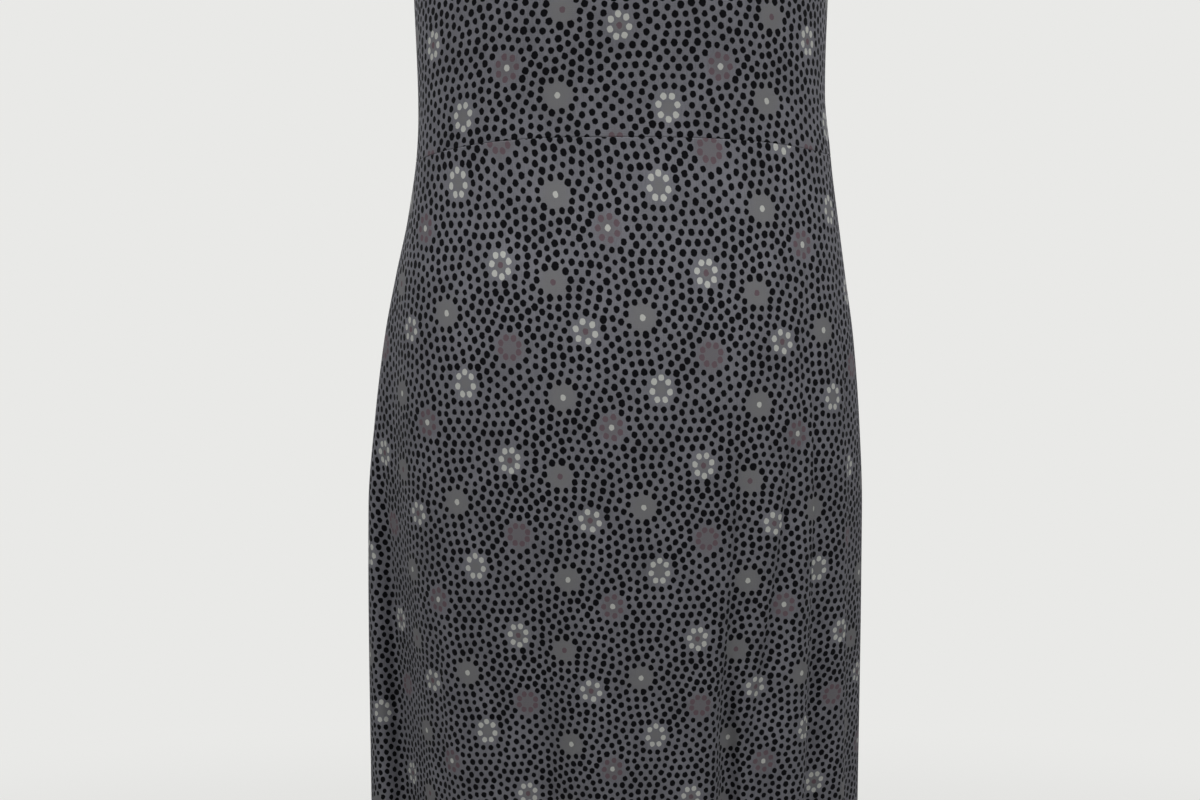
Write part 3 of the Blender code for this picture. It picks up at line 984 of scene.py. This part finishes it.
def noise(tree, place, scale, detail, output="Fac"):
    """Noise at a place, with patches the size of one over the scale."""
    return add(tree, "TexNoise", {"Vector": place, "Scale": scale, "Detail": detail}).outputs[output]


def between(tree, share, first, second):
    """A colour between two others: this share of the way from the first to the second."""
    return add(tree, "Mix", {0: share, 6: first, 7: second}, data_type="RGBA").outputs[2]


def graded(tree, value, start, end, low=0.0, high=1.0, way="SMOOTHSTEP"):
    """low before start, high after end, and a smooth S or a straight slope between them."""
    limits = {0: value, 1: start, 2: end, 3: low, 4: high}
    return add(tree, "MapRange", limits, interpolation_type=way).outputs[0]


def printed_spot(tree, place, layer, under, colours, soft, lobes=0):
    """The colour `under` with one printed spot over it. The attribute `layer` holds where the spot lies, and
    the sum of its ink's number and its radius. A place is inside if its distance is less than that radius,
    which in a spot with lobes swells and shrinks round it by a cosine."""
    spot = add(tree, "Attribute", attribute_name=layer).outputs["Vector"]
    code = add(tree, "SeparateXYZ", {0: spot}).outputs["Z"]
    radius = maths(tree, "FRACT", code)
    away = vectors(tree, "SUBTRACT", place, spot)
    away = vectors(tree, "MULTIPLY", away, (1, 1 / DOT_TALLNESS, 0))
    share = maths(tree, "DIVIDE", vectors(tree, "LENGTH", away), radius)
    if lobes:
        parts = add(tree, "SeparateXYZ", {0: away}).outputs
        turn = maths(tree, "ARCTAN2", parts["X"], parts["Y"])
        wave = maths(tree, "COSINE", maths(tree, "MULTIPLY", turn, lobes))
        share = maths(tree, "DIVIDE", share, maths(tree, "MULTIPLY_ADD", wave, LOBE_DEPTH, 1.0))
    inside = graded(tree, share, 1 - soft, 1 + soft, 1.0, 0.0)
    ramp = add(tree, "ValToRGB", {0: maths(tree, "DIVIDE", code, len(colours))})
    ramp.color_ramp.interpolation = "CONSTANT"
    for k, colour in enumerate(colours):
        stop = ramp.color_ramp.elements[k] if k < 2 else ramp.color_ramp.elements.new(k / len(colours))
        stop.position = k / len(colours)
        stop.color = colour
    return between(tree, inside, under, ramp.outputs[0])


def printed_jersey(name, cloth, ground, blots, inks):
    """Knitted jersey with a print, on the UV map that counts repeats.

    Single jersey of matt viscose: fine upright wales, a soft hand and hardly any gloss, so that it looks the
    same from every side but a little paler where it turns away. The dye takes unevenly in the yarn, which
    gives the ground its faint streaks, and each printed dot has a slightly bled, uneven outline.
    """
    material, tree, output = new_material(name)
    place = add(tree, "UVMap", uv_map="print").outputs[0]
    bleed = noise(tree, place, REPEAT / BLEED_SIZE, 1.0, "Color")
    bleed = vectors(tree, "SUBTRACT", bleed, (0.5, 0.5, 0.5))
    inked = vectors(tree, "MULTIPLY_ADD", bleed, (BLEED, BLEED, 0), place)

    streaks = vectors(tree, "MULTIPLY", place, (REPEAT / YARN_WIDTH, REPEAT / YARN_LENGTH, 1))
    yarn = noise(tree, streaks, 1.0, 2.0)
    tone = maths(tree, "ADD", yarn, noise(tree, place, REPEAT / PATCH, 2.0))
    tone = graded(tree, tone, TONE_FROM, TONE_TO, way="LINEAR")
    colour = between(tree, tone, shaded(ground, 1 - STREAK), shaded(ground, 1 + STREAK))

    colour = printed_spot(tree, inked, "motif", colour, blots, BLOT_SOFTNESS, LOBES)
    for k in range(NEAREST):
        colour = printed_spot(tree, inked, f"dot_{k + 1}", colour, inks, DOT_SOFTNESS)

    # The knit: wales 0.7 mm apart, drawn at 1.1 mm so that they show. Each course bends down between them.
    parts = add(tree, "SeparateXYZ", {0: place}).outputs
    wale = maths(tree, "MULTIPLY", parts["X"], math.pi * REPEAT / WALE)
    wale = maths(tree, "ABSOLUTE", maths(tree, "SINE", wale))
    course = maths(tree, "MULTIPLY_ADD", parts["Y"], 2 * math.pi * REPEAT / COURSE, wale)
    knit = maths(tree, "MULTIPLY_ADD", maths(tree, "SINE", course), COURSE_HEIGHT, wale)
    fuzz = maths(tree, "MULTIPLY_ADD", yarn, FUZZ_HEIGHT, knit)
    looks = {
        "Base Color": colour,
        "Roughness": cloth.roughness,
        "Sheen Weight": cloth.sheen,
        "Sheen Roughness": 0.5,
        "Specular IOR Level": 0.06,
        "Normal": add(tree, "Bump", {"Strength": 0.22, "Distance": 0.0003, "Height": fuzz}).outputs[0],
    }
    tree.links.new(add(tree, "BsdfPrincipled", looks).outputs[0], output.inputs[0])
    return material


def printed_face(cloth):
    """The face, on which the print lies full and dark."""
    known = bpy.data.materials.get("printed_viscose_jersey")
    blots = (cloth.grey_motif, cloth.mauve_tint)
    inks = (cloth.black_dots, cloth.pale_motif, cloth.mauve_motif)
    return known or printed_jersey("printed_viscose_jersey", cloth, cloth.ground, blots, inks)


def printed_reverse(cloth):
    """The reverse, to which the print comes through pale: its own colour, moved a share towards each ink."""
    known = bpy.data.materials.get("printed_viscose_jersey_reverse")

    def through(colour, share):
        """The reverse's colour where this ink lies on the face."""
        return tuple(r + (c - r) * share for r, c in zip(cloth.reverse[:3], colour)) + (1.0,)

    blots = [through(blot, BLOT_THROUGH) for blot in (cloth.grey_motif, cloth.mauve_tint)]
    inks = [through(cloth.black_dots, BLACK_THROUGH)]
    inks += [through(ink, PETAL_THROUGH) for ink in (cloth.pale_motif, cloth.mauve_motif)]
    return known or printed_jersey("printed_viscose_jersey_reverse", cloth, cloth.reverse, blots, inks)


def spun_thread(cloth):
    """Spun polyester sewing thread: two plies twisted to the left, which catch a little light across it.
    Shade is painted into its colour in the grooves between the plies.
    """
    material, tree, output = new_material("spun_polyester_thread")
    place = add(tree, "TexCoord").outputs["Object"]
    # A wave's diagonal bands stand 2 pi / (10 sqrt 3) apart at a scale of 1.
    wave = {"Vector": place, "Scale": 2 * math.pi / (10 * math.sqrt(3) * PLY), "Distortion": 1.0}
    ply = add(tree, "TexWave", wave, wave_profile="SIN", bands_direction="DIAGONAL").outputs[1]
    # Painted shade: the thread's colour is darker between the plies, where shade falls in the groove.
    colour = between(tree, ply, shaded(cloth.thread, PLY_PAINTED_SHADE), cloth.thread)
    bump = add(tree, "Bump", {"Strength": 0.3, "Distance": 0.0001, "Height": ply}).outputs[0]
    shader = add(tree, "BsdfPrincipled", {"Base Color": colour, "Roughness": 0.6, "Normal": bump})
    tree.links.new(shader.outputs[0], output.inputs[0])
    return material


def seen_directly(tree):
    """1 for rays from the camera and for those that a glossy or clear surface sends on, and 0 for others."""
    path = add(tree, "LightPath").outputs
    seen = maths(tree, "ADD", path["Is Camera Ray"], path["Is Glossy Ray"])
    return maths(tree, "ADD", seen, path["Is Transmission Ray"], use_clamp=True)


def painted_floor(studio):
    """Matt emulsion on a smooth floor: even and pale. Far out it passes into the backdrop's own colour."""
    material, tree, output = new_material("matt_painted_floor")
    place = add(tree, "TexCoord").outputs["Object"]
    grain = noise(tree, place, 1 / FLOOR_GRAIN, 3.0)
    colour = between(tree, grain, shaded(studio.floor, FLOOR_SHADE), studio.floor)
    paint = add(tree, "BsdfPrincipled", {"Base Color": colour, "Roughness": 0.9}).outputs[0]
    far = vectors(tree, "LENGTH", vectors(tree, "MULTIPLY", place, (1, 1, 0)))
    faded = maths(tree, "MULTIPLY", graded(tree, far, FADE_FROM, FADE_TO), seen_directly(tree))
    backdrop = add(tree, "Emission", {"Color": studio.backdrop, "Strength": 1.0}).outputs[0]
    mixed = add(tree, "MixShader", {0: faded, 1: paint, 2: backdrop}).outputs[0]
    tree.links.new(mixed, output.inputs[0])
    return material


# --- Settings, operators and panel --------------------------------------------------------------------------


def colour_property(name, description, hex_colour):
    """A colour that can be changed, and starts at this hex value turned linear."""
    look = {"subtype": "COLOR", "size": 4, "min": 0, "max": 1}
    return FloatVectorProperty(name=name, description=description, default=linear(hex_colour), **look)


def length_property(name, description, metres):
    """A length that can be changed, and starts at this many metres."""
    look = {"subtype": "DISTANCE", "unit": "LENGTH", "min": 0, "precision": 5}
    return FloatProperty(name=name, description=description, default=metres, **look)


def number_property(name, description, number, **limits):
    """A number that can be changed, and starts at this one."""
    return FloatProperty(name=name, description=description, default=number, min=0, **limits)


def count_property(name, description, count, **limits):
    """The same for a whole number."""
    return IntProperty(name=name, description=description, default=count, min=0, **limits)


class DressCloth(PropertyGroup):
    """The jersey and its colours"""

    thickness: length_property("Thickness", "Thickness of the jersey", 0.0006)
    seam_roll: length_property("Seam roll", "Radius of the roll of the cloth into a side seam", 0.0010)
    roughness: number_property("Roughness", "Roughness of the jersey", 0.85, max=1)
    sheen: number_property("Sheen", "Sheen of the yarn's fuzz", 0.02, max=1)
    ground: colour_property("Ground", "Colour of the jersey between the dots", "66666c")
    black_dots: colour_property("Black dots", "Ink of the small dots", "050508")
    pale_motif: colour_property("Pale motif", "Ink of the pale petals and middles", "a9aaa6")
    mauve_motif: colour_property("Mauve motif", "Ink of the mauve petals and middles", "5a4c52")
    mauve_tint: colour_property("Mauve tint", "Blot under the mauve petals", "636165")
    grey_motif: colour_property("Grey motif", "Warm grey blots", "69696b")
    reverse: colour_property("Reverse", "Colour of the jersey's reverse", "828186")
    thread: colour_property("Thread", "Colour of the sewing thread", "2b2b31")


class DressPrint(PropertyGroup):
    """The dots of the print"""

    dots: count_property("Dots", "Black dots in one repeat", 400, max=1000)
    dot_radius: number_property("Dot radius", "Mean radius of a dot, in repeats", 0.0151, precision=4)
    uneven: number_property("Unevenness", "Spread of the dots' radii", 0.09)
    rounds: count_property("Rounds", "Rounds in which the dots spread out", 80)
    seed: count_property("Seed", "Where the dots start", 3)


class DressEdges(PropertyGroup):
    """The turned and sewn edges"""

    fold: length_property("Fold radius", "Radius of the fold along a turned edge", 0.0008)
    seam_fold: length_property("Seam radius", "Radius of the fold along the waist seam", 0.0007)
    allowance: length_property("Allowance", "Cloth turned in at the waist seam", 0.008)
    top_turning: length_property("Neck turning", "Cloth turned in at the neckline and armholes", 0.011)
    top_needle: length_property("Neck stitching", "First row of stitches from the neckline's edge", 0.006)
    hem_turning: length_property("Hem turning", "Cloth turned in at the hem", 0.022)
    hem_needle: length_property("Hem stitching", "First row of stitches from the hem's edge", 0.017)
    twin: length_property("Twin needle", "Distance between the two rows of stitches", 0.003)
    stitch: length_property("Stitch", "Length of a stitch", 0.0026)
    stitch_gap: length_property("Stitch gap", "Gap between stitches", 0.0006)
    thread: length_property("Thread", "Thickness of the thread", 0.00036)
    lift: length_property("Lift", "How far cloth stands out over a turned layer", 0.0003)
    dimple: length_property("Dimple", "How deep a row of stitches pulls the cloth in", 0.00025)


class DressStudio(PropertyGroup):
    """The studio"""

    floor: colour_property("Floor", "Colour of the floor", "dededb")
    backdrop: colour_property("Backdrop", "Colour seen behind the dress", "e9e9e7")
    brightness: number_property("Brightness", "Multiplies the power of all lamps", 1.0, max=10)
    ambient: number_property("Ambient", "Strength of the light from all round", 0.10, max=2)


class MakeStudio(Operator):
    """Make the camera, the lamps, the world and the floor"""

    bl_idname = "tank_dress.studio"
    bl_label = "Make Studio"

    def execute(self, context):
        """Makes each in turn, and turns off the view's tone curve."""
        scene, studio = context.scene, context.scene.dress_studio
        lens = bpy.data.cameras.new("camera")
        lens.lens = LENS
        camera = bpy.data.objects.new("camera", lens)
        camera.location = CAMERA_PLACE
        camera.rotation_euler = (math.radians(90 - CAMERA_PITCH), 0, 0)
        scene.collection.objects.link(camera)
        scene.camera = camera

        for lamp in LAMPS:
            light = bpy.data.lights.new(lamp.name, "AREA")
            light.shape = "DISK"
            light.size = lamp.size
            light.energy = lamp.watts * studio.brightness
            piece = bpy.data.objects.new(lamp.name, light)
            turn, rise = math.radians(lamp.turn), math.radians(lamp.rise)
            flat = math.cos(rise)
            towards = Vector((math.sin(turn) * flat, -math.cos(turn) * flat, math.sin(rise)))
            piece.location = towards * lamp.distance
            piece.rotation_euler = towards.to_track_quat("Z", "Y").to_euler()
            scene.collection.objects.link(piece)

        world = bpy.data.worlds.new("studio_air")
        scene.world = world
        world.use_nodes = True
        tree = world.node_tree
        tree.nodes.clear()
        seen = add(tree, "Background", {"Color": studio.backdrop, "Strength": 1.0}).outputs[0]
        lit = add(tree, "Background", {"Color": (1, 1, 1, 1), "Strength": studio.ambient}).outputs[0]
        mixed = add(tree, "MixShader", {0: seen_directly(tree), 1: lit, 2: seen}).outputs[0]
        tree.links.new(mixed, add(tree, "OutputWorld").inputs[0])

        corners = np.array([(-1, -1, 0), (1, -1, 0), (1, 1, 0), (-1, 1, 0)]) * FLOOR_HALF
        mesh = bpy.data.meshes.new("floor")
        mesh.from_pydata((corners + (0, 0, FLOOR_LEVEL)).tolist(), [], [(0, 1, 2, 3)])
        mesh.materials.append(painted_floor(studio))
        floor = bpy.data.objects.new("floor", mesh)
        scene.collection.objects.link(floor)
        scene.view_settings.view_transform = "Standard"
        return {"FINISHED"}


class MakeBodice(Operator):
    """Make the front and the back of the bodice"""

    bl_idname = "tank_dress.bodice"
    bl_label = "Make Bodice"

    def execute(self, context):
        """Lays the dots of the print and makes both pieces with them."""
        dots = laid_dots(context.scene.dress_print)
        for cut in BODICE:
            bodice_piece(cut, dots, context.scene)
        return {"FINISHED"}


class MakeSkirt(Operator):
    """Make the front and the back of the skirt"""

    bl_idname = "tank_dress.skirt"
    bl_label = "Make Skirt"

    def execute(self, context):
        """Lays the same dots and makes both pieces with them."""
        dots = laid_dots(context.scene.dress_print)
        for cut in SKIRT:
            skirt_piece(cut, dots, context.scene)
        return {"FINISHED"}


class MakeStitching(Operator):
    """Make the twin rows of stitches"""

    bl_idname = "tank_dress.stitching"
    bl_label = "Make Stitching"

    def execute(self, context):
        """Sews each piece of cloth in turn."""
        edges = context.scene.dress_edges
        thread = spun_thread(context.scene.dress_cloth)
        for cut in BODICE + SKIRT:
            rows = bodice_stitches(cut, edges) if cut in BODICE else skirt_stitches(cut, edges)
            stitches = stitching_piece(f"{cut.name}_stitches", rows, thread)
        return {"FINISHED"}


class TankDressPanel(Panel):
    """The sizes and colours of the dress, and the buttons that make it"""

    bl_idname = "VIEW3D_PT_tank_dress"
    bl_label = "Tank Dress"
    bl_space_type = "VIEW_3D"
    bl_region_type = "UI"
    bl_category = "Tank Dress"

    def draw(self, context):
        """One box for each group of settings, and the operators below them."""
        for group in SETTINGS:
            box = self.layout.box()
            box.label(text=SETTINGS[group].__doc__)
            settings = getattr(context.scene, group)
            for name in SETTINGS[group].__annotations__:
                box.prop(settings, name)
        for operator in OPERATORS:
            self.layout.operator(operator.bl_idname)


SETTINGS = {
    "dress_cloth": DressCloth,
    "dress_print": DressPrint,
    "dress_edges": DressEdges,
    "dress_studio": DressStudio,
}
OPERATORS = (MakeStudio, MakeBodice, MakeSkirt, MakeStitching)
CLASSES = (*SETTINGS.values(), *OPERATORS, TankDressPanel)


def register():
    """Adds the classes, and the settings to the scene."""
    for cls in CLASSES:
        bpy.utils.register_class(cls)
    for name, group in SETTINGS.items():
        setattr(bpy.types.Scene, name, PointerProperty(type=group))


def unregister():
    """Takes the settings and the classes away again."""
    for name in SETTINGS:
        delattr(bpy.types.Scene, name)
    for cls in reversed(CLASSES):
        bpy.utils.unregister_class(cls)


def main():
    """Makes the studio and the dress."""
    register()
    bpy.ops.tank_dress.studio()
    bpy.ops.tank_dress.bodice()
    bpy.ops.tank_dress.skirt()
    bpy.ops.tank_dress.stitching()


if __name__ == "__main__":
    main()
